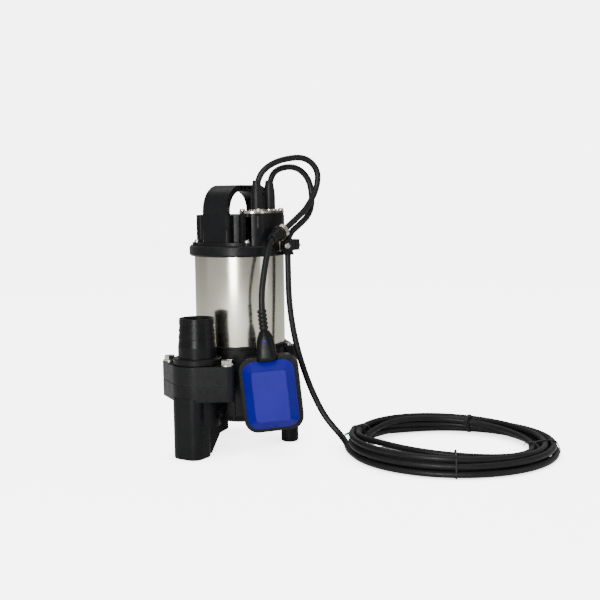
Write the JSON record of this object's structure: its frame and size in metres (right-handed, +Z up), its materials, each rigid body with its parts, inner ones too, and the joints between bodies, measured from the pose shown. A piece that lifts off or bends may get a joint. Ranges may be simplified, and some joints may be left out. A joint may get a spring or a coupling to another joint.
{
  "type": "submersible sump pump",
  "caption": "Upright submersible sump pump with steel motor sleeve, barbed discharge, handle, tethered float switch and coiled cable.",
  "frame": {"origin": "on the motor's axis at floor level, between the feet", "axes": "+Z up along the motor's axis; the discharge stands towards -Y; the cable gland, clamp and float are towards +X"},
  "size_m": [0.4876, 0.3224, 0.382],
  "materials": {
    "black_plastic": "satin",
    "blue_plastic": "gloss",
    "stainless": "brushed",
    "screw_steel": "polished",
    "rubber": "satin",
    "lamination": "dull",
    "winding": "enamelled",
    "aluminium": "cast",
    "bearing_steel": "polished",
    "ceramic": "lapped",
    "can": "drawn",
    "white_plastic": "satin",
    "tie_plastic": "gloss",
    "weight_steel": "dull"
  },
  "bodies": {
    "pump": {"handle_cover": "black_plastic", "cover_screws": "screw_steel", "gland_plate": "stainless", "gland_gasket": "rubber", "gland_screws": "screw_steel", "power_cable_boot": "rubber", "float_cable_boot": "rubber", "upper_bracket": "black_plastic", "sleeve_seals": "rubber", "capacitor": "can", "thermal_protector": "white_plastic", "float_cable_grommet": "rubber", "grommet_strap": "stainless", "cable_clamp": "black_plastic", "clamp_screw": "screw_steel", "clamp_nut": "screw_steel", "motor_sleeve": "stainless", "stator_core": "lamination", "stator_windings": "winding", "lower_bracket": "black_plastic", "upper_bearing_outer": "bearing_steel", "lower_bearing_outer": "bearing_steel", "seal_seat": "ceramic", "lip_seal": "rubber", "seal_plate": "black_plastic", "volute_casing": "black_plastic", "casing_screws": "screw_steel", "suction_cover": "black_plastic", "suction_cover_screws": "screw_steel", "hose_coupling": "black_plastic", "coupling_flange": "black_plastic", "flange_gasket": "rubber", "flange_bolts": "screw_steel", "flange_washers": "screw_steel", "float_cable": "rubber", "power_cable": "rubber", "power_cable_coil": "rubber", "cable_ties": "tie_plastic"},
    "rotor": {"shaft": "bearing_steel", "rotor_core": "lamination", "rotor_end_rings": "aluminium", "upper_bearing_inner": "bearing_steel", "lower_bearing_inner": "bearing_steel", "seal_rotary": "rubber", "impeller": "black_plastic", "impeller_nut": "screw_steel"},
    "upper_balls": {"upper_bearing_balls": "bearing_steel"},
    "lower_balls": {"lower_bearing_balls": "bearing_steel"},
    "float": {"float_shell_front": "blue_plastic", "float_shell_back": "black_plastic", "float_neck": "black_plastic", "float_strain_relief": "rubber", "switch_body": "black_plastic", "ball_race": "white_plastic", "float_weight": "weight_steel", "float_cable_hanging": "rubber"},
    "ball": {"switch_ball": "bearing_steel"},
    "lever": {"switch_lever": "screw_steel"}
  },
  "joints": [
    {"name": "rotor_spin", "type": "hinge", "parent": "pump", "child": "rotor", "pos_m": [0, 0, 0.13], "axis": [0, 0, 1], "continuous": true},
    {"name": "upper_balls_spin", "type": "hinge", "parent": "pump", "child": "upper_balls", "pos_m": [0, 0, 0.245], "axis": [0, 0, 1], "continuous": true},
    {"name": "lower_balls_spin", "type": "hinge", "parent": "pump", "child": "lower_balls", "pos_m": [0, 0, 0.1295], "axis": [0, 0, 1], "continuous": true},
    {"name": "float_swing", "type": "hinge", "parent": "pump", "child": "float", "pos_m": [0.0695, -0.0335, 0.2675], "axis": [-0.8572, -0.515, 0], "range_deg": [0, 100]},
    {"name": "switch_ball_roll", "type": "slide", "parent": "float", "child": "ball", "axis": [-0.0851, -0.0512, 0.9951], "range_m": [0, 0.014]},
    {"name": "switch_lever_press", "type": "hinge", "parent": "float", "child": "lever", "pos_m": [0.07076, -0.0601, 0.08278], "axis": [0.515, -0.8572, 0], "range_deg": [0, 8], "stiffness_Nm_per_rad": 0.05, "springref_deg": -1.15}
  ],
  "couplings": [
    {"joint": "upper_balls_spin", "follows": "rotor_spin", "ratio": 0.377},
    {"joint": "lower_balls_spin", "follows": "rotor_spin", "ratio": 0.38}
  ]
}
